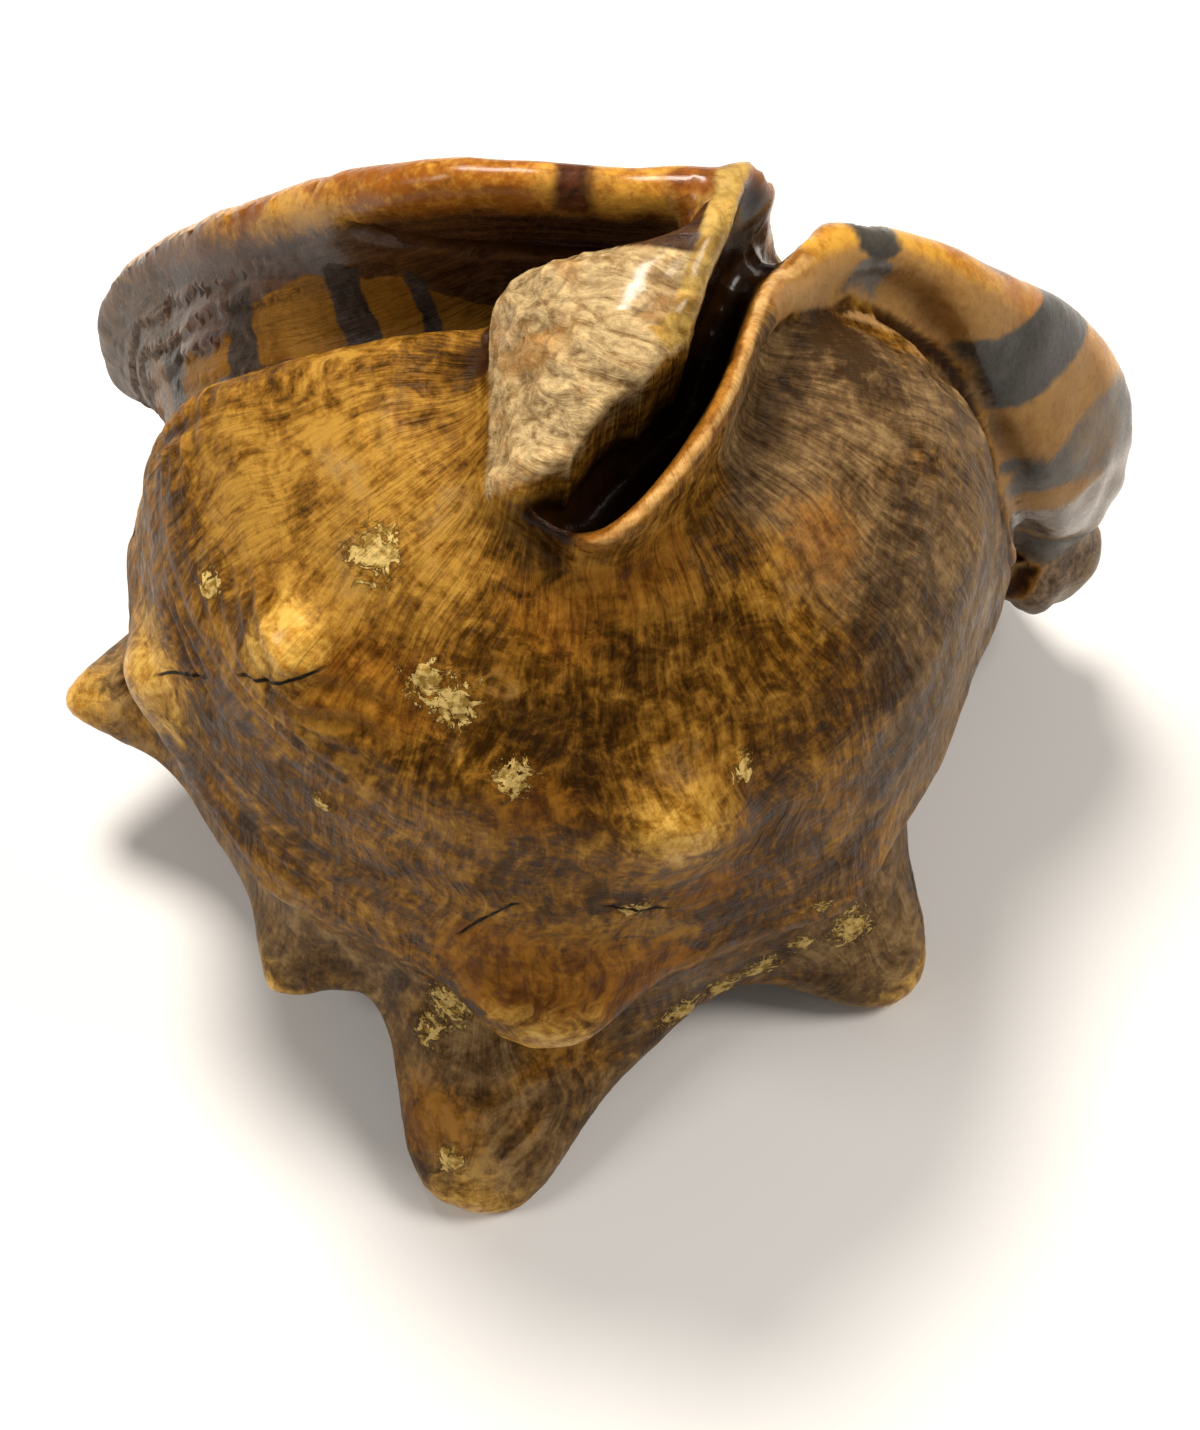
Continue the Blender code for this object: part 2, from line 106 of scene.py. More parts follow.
# Tips of the knobs, as (angle, radius, z, reach of the colour)
KNOBS = (
    (190, 77, 1, 15), (234, 70, -5, 8), (263, 88.5, -7.2, 12), (317, 78.5, -9.5, 11), (203, 61.5, 50, 14),
    (269, 70.5, 32, 13), (223, 49, 93, 9), (283, 55.5, 85, 9),
)

# Where the fine lines fan out from under the stub
FAN_MIDDLE, FAN_RADIUS = (-14, -16, 106), 14

# Patches of the back that are brighter or darker, as (x, y, z, radius, change)
# Partly the shell's own tone, partly painted shade in the furrows and painted highlight on a front knob's
# ridge
TONE_AND_LIGHT_PATCHES = (
    (-36, -16, 94, 20, 0.13), (-24, -18, 100, 14, 0.08), (-19, -29, 97, 14, 0.06),
    (6, -29, 100, 12, -0.06), (4, -38, 95, 8, -0.10), (14, -38, 93, 10, -0.03), (-2, -45, 88, 9, -0.10),
    (25, 2, 101, 9, -0.10), (32, 6, 98, 9, -0.14), (38, -19, 91, 16, -0.02), (45, -24, 82, 14, -0.02),
    (31, -45, 73, 14, -0.05), (43, -37, 64, 18, -0.02), (9.5, -50, 89, 6, 0.16), (15, -50, 88, 5, 0.14),
    (-42, -42, 45, 20, -0.03), (-29, -54, 39, 18, -0.02), (-16, -77, 4, 7, 0.08), (1, -64, 43, 9, -0.06),
    (-42, -6, 92, 10, 0.04), (-34, -2, 98, 9, -0.05), (-21, -41, 88, 7, -0.08), (-30, -44, 66, 9, -0.06),
)

# Rusty patches, as (x, y, z, radius)
RUSTS = (
    (-29, -36, 90, 8), (-20, -39, 91, 6), (-3, -30, 100, 8), (8, -24, 102, 6), (1, -64, 43, 11),
    (-10, -60, 44, 9), (14, -62, 40, 8), (-17, -77, 4, 8), (-74, -15, 3, 8), (-52, -24, 55, 6),
    (28, -20, 98, 7), (-6, -50, 84, 7), (20, -56, 62, 8),
)

# Chalky crusts on the back, as (x, y, z, radius)
CRUSTS = (
    (-24.5, -23.5, 98, 5.5), (-18, -37, 92.7, 5), (-15.5, -39.2, 92, 5.5), (-7.5, -47, 86.5, 4.5),
    (-45, -22, 82.5, 4), (-31.4, -45.6, 66.6, 3), (20, -45, 86, 3), (9, -56, 59, 3.5),
    (-14, -61, 15.4, 5.5), (-17, -64.5, 10.5, 5), (20.4, -59.4, 4.3, 5.5), (26.4, -55.6, 4.8, 5.5),
    (32.2, -53, 7.4, 5), (37.4, -50, 13, 4), (45.2, -47.3, 11.7, 6), (36.7, -51, 40.6, 2.5),
    (-13.4, -82.2, 2.4, 3.5),
)

# Cracks, as two ends each
CRACKS = (
    ((-13.8, -57.7, 46.8), (-5.2, -56, 61.5)), ((4.5, -56.2, 60.7), (13.8, -55.4, 56.6)),
    ((-55.6, -24.4, 51.5), (-45.8, -30.2, 69.8)), ((-41.5, -33, 80), (-30, -36, 92)),
    ((56, -32.8, 3.9), (58.8, -44.9, -1.9)),
)

# Checkered band on the back of the shield: upper edge as (x, z), and dark bars as ranges of x
CHECKER_TOP = (
    (-62, 40), (-54, 59.7), (-51.2, 66.4), (-45.5, 74.8), (-42.3, 79.6), (-34.6, 88.9), (-29.5, 92.6),
    (-22.8, 96.1), (-18.9, 94.9), (-12.1, 93.1),
)
CHECKER_BARS = ((-56.5, -52.8), (-46.2, -42.4), (-33.2, -28.0), (-22.8, -19.6))
CHECKER_SLANT = 0.4

# Dark bars of the lip band: share of its length, slant, half width
BAND_BARS = (
    (0.195, 0.0, 0.030), (0.43, 0.07, 0.062), (0.60, 0.06, 0.040), (0.785, 0.0, 0.022),
    (0.95, 0.02, 0.035),
)

# How strongly the material shines, and how deep its finest relief is
IOR, SPECULAR_LEVEL = 1.34, 0.12
COAT_ROUGHNESS, COAT_AT_MOST = 0.22, 0.5
BUMP_STRENGTH, BUMP_DEPTH = 0.7, 0.2

# Lamps over the stage, as (name, place, size, power, colour)
LAMPS = (
    ("ceiling_lamp", (-0.15, 0.40, 0.95), 0.30, 10.5, (1.0, 0.945, 0.86)),
    ("window", (-0.85, -0.25, 0.75), 0.40, 4.5, (1.0, 0.97, 0.93)),
    ("far_lamp", (0.65, 0.0, 0.9), 0.40, 6.2, (1.0, 0.95, 0.89)),
)
LAMPS_AIM = (0, 0, 0.06)
ROOM_COLOUR, ROOM_STRENGTH = (1.0, 0.965, 0.93), 0.20
FLOOR_COLOUR, FLOOR_ROUGHNESS, FLOOR_REACH = (0.80, 0.785, 0.765), 0.45, 3.0

# Camera of the photograph: elevation, distance to the point at the picture's middle, and lens in pixels
PHOTO_SIZE = (1200, 1430)
CAMERA_ELEVATION = 63.0
CAMERA_DISTANCE = 380.0
LENS_PX = 2394.0
ORIGIN_OFFSET = (-7.94, 11.90)  # of the shell frame's origin from that point, to the right and up


# Numbers and curves

def smoothstep(low, high, x):
    """0 below low, 1 above high and smooth between them. The other way round where high is under low."""
    t = np.clip((x - low) / (high - low), 0, 1)
    return t * t * (3 - 2 * t)


def curve_through(points, samples, closed=False):
    """Evenly spaced samples of a smooth curve through the rows of points."""
    knots = np.asarray(points, float)
    count = len(knots)
    if closed:
        padded = np.vstack([knots[-1], knots, knots[:2]])
        spans = count
    else:
        padded = np.vstack([2 * knots[0] - knots[1], knots, 2 * knots[-1] - knots[-2]])
        spans = count - 1
    t = np.linspace(0, spans, spans * 24 + 1)
    i = np.minimum(t.astype(int), spans - 1)
    f = (t - i)[:, None]
    a, b, c, d = (padded[i + k] for k in range(4))
    fine = 0.5 * (2 * b + (c - a) * f + (2 * a - 5 * b + 4 * c - d) * f**2 + (3 * b - a - 3 * c + d) * f**3)
    lengths = np.r_[0, np.cumsum(np.linalg.norm(np.diff(fine, axis=0), axis=1))]
    wanted = np.linspace(0, lengths[-1], samples, endpoint=not closed)
    return np.stack([np.interp(wanted, lengths, column) for column in fine.T], axis=1)


def nearest(points, samples):
    """Index of the nearest sample to each point, and the distance to it."""
    squares = (samples**2).sum(1)
    index = np.empty(len(points), int)
    for start in range(0, len(points), 20000):
        part = points[start:start + 20000]
        index[start:start + 20000] = np.argmin(squares - 2 * part @ samples.T, axis=1)
    return index, np.linalg.norm(points - samples[index], axis=1)


NOISE_CELLS = 64
NOISE_TABLE = np.random.default_rng(11).uniform(-1, 1, (NOISE_CELLS,) * 3)


def noise(points, size, seed=0):
    """Smooth noise from -1 to 1 with lumps about size across. size may differ along each axis."""
    q = points / np.asarray(size, float) + 7.31 * seed
    cell = np.floor(q).astype(int)
    f = q - cell
    f = f * f * (3 - 2 * f)
    total = np.zeros(len(points))
    for corner in itertools.product((0, 1), repeat=3):
        share = np.prod(np.where(corner, f, 1 - f), axis=1)
        ix, iy, iz = ((cell + corner) % NOISE_CELLS).T
        total += share * NOISE_TABLE[ix, iy, iz]
    return total


def rough_noise(points, size, octaves=3, seed=0):
    """Noise with finer lumps added, each octave half the size and half the height of the one before."""
    total = sum(noise(points, np.asarray(size) / 2**k, seed + k) / 2**k for k in range(octaves))
    return total / 1.6


# The dense mesh

def dense_copy(node):
    """An evenly meshed copy of the CAD node with its facets smoothed away."""
    obj = bpy.data.objects.new("shell_surface", node.data.copy())
    bpy.context.scene.collection.objects.link(obj)
    remesh = obj.modifiers.new("remesh", "REMESH")
    remesh.mode = "VOXEL"
    remesh.voxel_size = VOXEL * MM
    smooth = obj.modifiers.new("smooth", "SMOOTH")
    smooth.factor, smooth.iterations = 0.5, SMOOTHING
    bpy.context.view_layer.update()
    done = obj.evaluated_get(bpy.context.evaluated_depsgraph_get())
    mesh = bpy.data.meshes.new_from_object(done)
    obj.modifiers.clear()
    obj.data = mesh
    mesh.materials.clear()
    return obj


def pose():
    """Turn of the shell frame in the frame's own axes."""
    lean = Matrix.Rotation(math.radians(LEAN_DEG), 3, "X")
    roll = Matrix.Rotation(math.radians(ROLL_DEG), 3, "Y")
    return np.array(roll @ lean)


def read_points(mesh):
    points = np.empty(len(mesh.vertices) * 3, np.float32)
    mesh.vertices.foreach_get("co", points)
    return points.reshape(-1, 3).astype(float)


def read_normals(mesh):
    normals = np.empty(len(mesh.vertices) * 3, np.float32)
    mesh.vertex_normals.foreach_get("vector", normals)
    return normals.reshape(-1, 3).astype(float)


def to_shell(points):
    """From the frame's metres to the shell frame's millimetres."""
    return (points / MM - SHELL_ORIGIN) @ pose()


def to_row(points):
    """From the shell frame's millimetres to the frame's metres."""
    return (points @ pose().T + SHELL_ORIGIN) * MM


def neighbour_mean(mesh, values):
    ends = np.empty(len(mesh.edges) * 2, np.int32)
    mesh.edges.foreach_get("vertices", ends)
    a, b = ends.reshape(-1, 2).T
    count = np.bincount(np.r_[a, b], minlength=len(values))[:, None]
    total = np.zeros_like(values)
    for column in range(values.shape[1]):
        pulled = np.r_[values[b, column], values[a, column]]
        total[:, column] = np.bincount(np.r_[a, b], pulled, minlength=len(values))
    return total / np.maximum(count, 1)


# Where each point is on the shell. Signed distances are positive inside the named region

def whorl_place(p):
    """Height above the whorl's wall, and the way along its outline from the spire's tip to the front end."""
    x, y, z = p.T
    outline = curve_through(WHORL_OUTLINE, 400)
    heights, left, right = np.array(WHORL_FRONT, float).T
    side = smoothstep(-10, 22, x)
    reach = np.interp(z, heights, left) * (1 - side) + np.interp(z, heights, right) * side
    climb = outline[:, 1] < 101
    widest = np.interp(z, outline[climb, 1], outline[climb, 0])
    press = np.minimum(1, reach / np.maximum(widest, 1))
    r = np.hypot(x, np.where(y > 0, y / press, y))
    flat = np.stack([r, z], 1)
    index, distance = nearest(flat, outline)
    along = np.gradient(outline, axis=0)[index]
    gap = flat - outline[index]
    outward = np.sign(gap[:, 0] * along[:, 1] - gap[:, 1] * along[:, 0])
    lengths = np.r_[0, np.cumsum(np.linalg.norm(np.diff(outline, axis=0), axis=1))]
    return outward * distance, lengths[index] + (gap * along).sum(1) / np.linalg.norm(along, axis=1)


def band_place(p):
    """Share of the lip band's length, place across it (-1 inner, 1 outer edge), height, half width."""
    stations = curve_through(BAND, 300)
    outer, inner = stations[:, :3], stations[:, 3:]
    centre, across = (outer + inner) / 2, (outer - inner) / 2
    index, _ = nearest(p, centre)
    gap, reach = p - centre[index], across[index]
    width = np.linalg.norm(reach, axis=1)
    side = (gap * reach).sum(1) / width**2
    facing = np.cross(np.gradient(centre, axis=0)[index], reach)
    facing /= np.linalg.norm(facing, axis=1, keepdims=True)
    facing *= np.sign(facing @ [0.0, -0.6, 0.8])[:, None]
    return index / 299, side, (gap * facing).sum(1), width


def canal_place(p):
    """Share of the canal's length, place across it (0 left, 1 right rim), height, width and distance."""
    stations = curve_through(CANAL, 240)
    right, left = stations[:, :3], stations[:, 3:]
    centre = (right + left) / 2
    index, _ = nearest(p[:, :2], centre[:, :2])
    across = (right - left)[index, :2]
    q = ((p[:, :2] - left[index, :2]) * across).sum(1) / (across**2).sum(1)
    rim = left[index, 2] + (right - left)[index, 2] * np.clip(q, 0, 1)
    distance = np.linalg.norm(p[:, :2] - centre[index, :2], axis=1)
    return index / 239, q, p[:, 2] - rim, np.linalg.norm(across, axis=1), distance


def knob_tips():
    """Tips of the knobs, and how far the colour of each tip reaches."""
    turn = np.radians([knob[0] for knob in KNOBS])
    radius, z, reach = np.array(KNOBS, float)[:, 1:].T
    return np.stack([radius * np.cos(turn), radius * np.sin(turn), z], 1), reach


def mark_canal(at, p):
    """The canal's dark slot, its rims, the ridge along its left rim, and the rough stub beside it."""
    x, y, z = p.T
    reach, q, height, gap, near = canal_place(p)
    at["canal_side"] = q
    on_top = np.minimum(z - 98.5 + 4 * (reach > 0.3), 26 - near)
    edge = np.interp(reach, *np.array(STUB_EDGE).T)
    sunk = np.where(q < 0.6, 5, -0.8 - height)
    across = np.minimum((q - edge) * gap - 0.1, (0.9 - q) * gap)
    at["slot"] = np.minimum.reduce([across, sunk, on_top + 12, gap * 0.5 + 1 - near, (20 - y) * 0.3])
    rim = np.minimum((q - 0.62) * gap, (1.0 - q) * gap + 1.7)
    at["canal_rim"] = np.minimum.reduce([rim, height + 4, on_top, 16 - y])
    at["canal_edge_glow"] = np.minimum.reduce([0.9 - np.abs((q - 1.0) * gap + 0.1), height + 1.8, on_top, 14 - y])
    at["ridge"] = np.minimum.reduce([1.7 - np.abs(q * gap + 0.7), height + 4.5, on_top, (0.60 - reach) * 60])
    before_shield = np.interp(x, (-6, 1, 8), (9.0, 7.8, 5.5)) - y
    above_body = z - 103.5 + 0.06 * (y - 13)
    at["stub"] = np.minimum.reduce([(edge - q) * gap + 0.1, above_body, 30 - near, before_shield])


def mark_shield(at, p, n):
    """The shield's back with its checkered band, its flat face with the slit, and the wall inside."""
    x, y, z = p.T
    rim = curve_through(RIM, 400, closed=True)
    index, at["rim_gap"] = nearest(p, rim)
    at["rim_share"] = index / 400

    lower_limit = np.interp(z, (0, 20, 45, 110), (10, 8, -3, -3))
    sheltered = (n[:, 1] < -0.5) & (y > 11.5) & (z > 88)
    wing = np.minimum.reduce([np.where(sheltered, 3, at["above"] - 0.6), y - lower_limit, 14 - x])
    plate_y = np.interp(z, (-30, 0, 40, 80, 114), (51, 44, 34, 25, 16.5))
    fronting = (n[:, 1] > 0.1) & (y > plate_y - 3)
    at["wing"] = np.where(fronting, np.minimum(wing, 2.0 - at["rim_gap"]), wing)
    at["joint"] = np.minimum.reduce(
        [1.5 - np.abs(at["above"] - 1.3), y - lower_limit, 14 - x, (0.2 - n[:, 1]) * 8]
    )

    below = np.interp(x, *np.array(CHECKER_TOP, float).T) - z
    backward = (0.15 - n[:, 1]) * 8
    at["checker"] = np.minimum.reduce([below, at["wing"], x + 60, -9 - x, z - 27, backward])
    slanted = x - CHECKER_SLANT * np.clip(below, 0, 12)
    bars = np.max([(hi - lo) / 2 - np.abs(slanted - (lo + hi) / 2) for lo, hi in CHECKER_BARS], axis=0)
    at["checker_bars"] = np.minimum(bars, at["checker"] + 1.5)

    plate = np.minimum((n[:, 1] - 0.12) * 12, y - plate_y + 11 + 9 * smoothstep(12, -12, z))
    lip = np.minimum.reduce([(n[:, 1] - 0.35) * 12, (x - 40) * 0.5, y - 10])
    at["face"] = np.maximum(plate, lip)
    at["inside"] = np.minimum.reduce([-at["above"] - 4.5, z - 2, 96 - z, plate_y - 1 - y])
    slit = np.abs(x - 33.5 + 0.14 * (z - 52))
    at["slit"] = np.minimum(12 + 1.5 * noise(p, 8, 38) - slit, y - 18)


def mark_band(at, p, n):
    """The turned-back band of the outer lip, its dark bars, and the fold along its inner edge."""
    share, side, over, width = band_place(p)
    at["band_share"], at["band_side"] = share, side
    at["lip_gap"] = -(side + 0.93) * width
    band = np.minimum.reduce([-at["lip_gap"], 8 - np.abs(over), (share - 0.012) * 160])
    forward = (n[:, 1] > 0.35) & (side > 0.5)
    at["band"] = np.where(forward, band - 6 * (n[:, 1] - 0.35), band)
    inner_edge = 1.2 - np.abs((side + 1.0) * width)
    at["fold"] = np.minimum.reduce([inner_edge, 6 - np.abs(over), (share - 0.22) * 60])
    bars = [w - np.abs(share - s - k * np.clip(side, -1, 1)) for s, k, w in BAND_BARS]
    at["band_bars"] = np.max(bars, axis=0) * 160


def mark_spots(at, p):
    """Knob tips and crusts: 1 at the middle, 0 at the edge."""
    tips, reaches = knob_tips()
    index, distance = nearest(p, tips)
    at["knob"] = 1 - distance / reaches[index]
    crusts = np.array(CRUSTS, float)
    index, distance = nearest(p, crusts[:, :3])
    at["crust"] = 1 - distance / crusts[index, 3]


def mark_cracks(at, p, n):
    """Distance to the nearest crack along the surface, and how far within its ends each point is."""
    across, along = [], []
    for a, b in np.array(CRACKS, float):
        axis = (b - a) / np.linalg.norm(b - a)
        flat = np.cross(axis, n)
        flat /= np.maximum(np.linalg.norm(flat, axis=1, keepdims=True), 1e-6)
        middle = p - (a + b) / 2
        across.append((middle * flat).sum(1))
        beyond = np.abs(middle @ axis) / (np.linalg.norm(b - a) / 2)
        off = np.abs((middle * n).sum(1))
        along.append(np.where(off > 8, -1, 1 - beyond))
    across, along = np.array(across), np.array(along)
    best = np.argmin(np.abs(across) + 20 * (along < -0.3), axis=0)
    columns = np.arange(len(p))
    at["crack"] = across[best, columns] + 0.35 * noise(p, 4, 9)
    at["crack_reach"] = along[best, columns]


def places(p, n):
    """Everything that the relief and the colours need to know about each point, by name."""
    x, y, z = p.T
    at = {"turned": (np.degrees(np.arctan2(y, x)) - 90) % 360}
    at["above"], at["meridian"] = whorl_place(p)
    at["spire"] = np.minimum.reduce([52 - np.hypot(x, y), -6 - z, -n[:, 2] * 10])
    mark_canal(at, p)
    mark_shield(at, p, n)
    mark_band(at, p, n)
    mark_spots(at, p)
    mark_cracks(at, p, n)
    # Crease lines at the wing's joint and the band's inner fold, which get a groove and painted shadow
    at["shaded_seam"] = np.maximum(at["joint"], at["fold"])
    return at


# Relief that the CAD is too coarse for, in millimetres along the surface's normal

def relief(p, at):
    """How far each point moves out along its normal."""
    painted = [at[name] for name in ("wing", "band", "face", "inside", "stub", "slot", "canal_rim", "ridge")]
    body = smoothstep(-1.0, 1.0, -np.maximum.reduce(painted))
    wave = 1.6 * noise(p, 16, 1) + 0.7 * noise(p, 6, 2)
    folds = np.sin(math.tau * at["meridian"] / 4.1 + 3 * wave)
    growth = np.sin(np.radians(at["turned"]) * 74 + 4 * wave)
    left = smoothstep(-14, -30, p[:, 0]) * smoothstep(20, 50, p[:, 2])
    patchy = smoothstep(-0.2, 0.7, noise(p, 13, 3))
    broken = smoothstep(-0.1, 0.6, noise(p, 9, 33))
    lift = body * (0.60 * noise(p, 15, 4) + 0.34 * rough_noise(p, 5.5, 3, 5))
    lift += body * ((0.10 + 0.22 * left) * folds * patchy + 0.10 * growth * broken)

    wing = smoothstep(0, 1.5, at["wing"]) * (1 - smoothstep(0, 2, at["face"]))
    layers = at["rim_gap"] + 1.8 * noise(p, 9, 6) + 0.8 * noise(p, 3.5, 7)
    saw = (layers / 3.4) % 1
    wear_and_sheen = smoothstep(-22, -50, p[:, 0]) * (1 - smoothstep(0, 3, at["checker"]))
    lift += wing * (0.75 * wear_and_sheen + 0.08) * (saw - 0.5) * smoothstep(3.5, 6, at["rim_gap"])
    lift += wing * 0.25 * noise(p, 7, 8)
    edge = 1 - smoothstep(1, 5, at["rim_gap"])
    lift += edge * (0.55 * noise(p, 9, 12) + 0.3 * noise(p, 4, 13))
    lift -= 0.9 * smoothstep(0, 1.2, at["shaded_seam"])

    stub = smoothstep(0, 1.5, at["stub"])
    wrinkles = 1 - np.abs(rough_noise(p @ STUB_GRAIN, (2.6, 9, 4.0), 2, 14)) * 2.6
    lift += stub * (0.75 * wrinkles - 0.5 + 0.8 * noise(p, 8, 15))
    lift -= 1.6 * smoothstep(0, 2, at["slot"]) * smoothstep(0.6, 0.4, at["canal_side"])

    band = smoothstep(0, 1.5, at["band"])
    low_end = smoothstep(0.60, 0.72, at["band_share"])
    lift += band * (0.35 * noise(p, 11, 16) + 0.12 * noise(p, 4, 17))
    lift += band * low_end * (0.9 * noise(p, (4, 4, 7), 18) - 0.3)

    lift += smoothstep(0, 1, at["ridge"]) * (0.5 + 0.3 * noise(p, 3.5, 19))
    lift += body * smoothstep(0.1, 0.7, at["crust"]) * (0.25 + 0.3 * noise(p, 2.5, 21))
    crack = smoothstep(0.9, 0.1, np.abs(at["crack"])) * smoothstep(0, 0.4, at["crack_reach"])
    lift -= body * 0.35 * crack
    return lift


# Shader graph helper

class Graph:
    """Short names for adding nodes to one material."""

    def __init__(self, name):
        self.material = bpy.data.materials.new(name)
        self.material.use_nodes = True
        self.tree = self.material.node_tree
        self.surface = self.tree.nodes["Principled BSDF"]

    def add(self, kind, **settings):
        node = self.tree.nodes.new("ShaderNode" + kind)
        for key, value in settings.items():
            setattr(node, key, value)
        return node

    def feed(self, socket, value):
        if isinstance(value, bpy.types.NodeSocket):
            self.tree.links.new(value, socket)
        elif isinstance(value, tuple) and len(value) == 3 and socket.type == "RGBA":
            socket.default_value = (*value, 1)
        else:
            socket.default_value = value

    def attribute(self, name, output="Fac"):
        return self.add("Attribute", attribute_name=name).outputs[output]

    def math(self, operation, a, b=0.0, c=0.0):
        node = self.add("Math", operation=operation)
        for socket, value in zip(node.inputs, (a, b, c)):
            self.feed(socket, value)
        return node.outputs[0]

    def step(self, low, high, x):
        """Smooth step of x from low to high, like smoothstep above."""
        node = self.add("MapRange", interpolation_type="SMOOTHSTEP")
        for name, value in (("Value", x), ("From Min", low), ("From Max", high)):
            self.feed(node.inputs[name], value)
        return node.outputs["Result"]

    def noise(self, vector, size, detail=3.0, roughness=0.55, distortion=0.0):
        node = self.add("TexNoise")
        self.feed(node.inputs["Vector"], vector)
        for name, value in (("Scale", 1 / size), ("Detail", detail)):
            self.feed(node.inputs[name], value)
        for name, value in (("Roughness", roughness), ("Distortion", distortion)):
            self.feed(node.inputs[name], value)
        return node.outputs["Fac"]

    def stretch(self, vector, scale):
        node = self.add("Mapping")
        self.feed(node.inputs["Vector"], vector)
        node.inputs["Scale"].default_value = scale
        return node.outputs["Vector"]

    def mix(self, share, a, b, blend="MIX"):
        node = self.add("Mix", data_type="RGBA", blend_type=blend)
        self.feed(node.inputs["Factor"], share)
        self.feed(node.inputs[6], a)
        self.feed(node.inputs[7], b)
        return node.outputs[2]

    def blend(self, share, a, b):
        """Like mix, for plain numbers."""
        node = self.add("Mix", data_type="FLOAT")
        for socket, value in ((node.inputs[0], share), (node.inputs[2], a), (node.inputs[3], b)):
            self.feed(socket, value)
        return node.outputs[0]

    def ramp(self, x, stops):
        node = self.add("ValToRGB")
        elements = node.color_ramp.elements
        while len(elements) < len(stops):
            elements.new(0.5)
        for element, (where, colour) in zip(elements, stops):
            element.position = where
            element.color = (*colour, 1)
        self.feed(node.inputs["Fac"], x)
        return node.outputs["Color"]


# Colours are linear
UMBER = (0.030, 0.011, 0.001)
BROWN = (0.090, 0.036, 0.003)
OCHRE = (0.22, 0.095, 0.010)
GOLD = (0.40, 0.205, 0.030)
MAROON = (0.018, 0.0055, 0.003)
PITCH = (0.004, 0.0016, 0.001)
GREY_BROWNS = ((0.28, (0.050, 0.026, 0.010)), (0.50, (0.135, 0.078, 0.032)), (0.72, (0.27, 0.175, 0.080)))


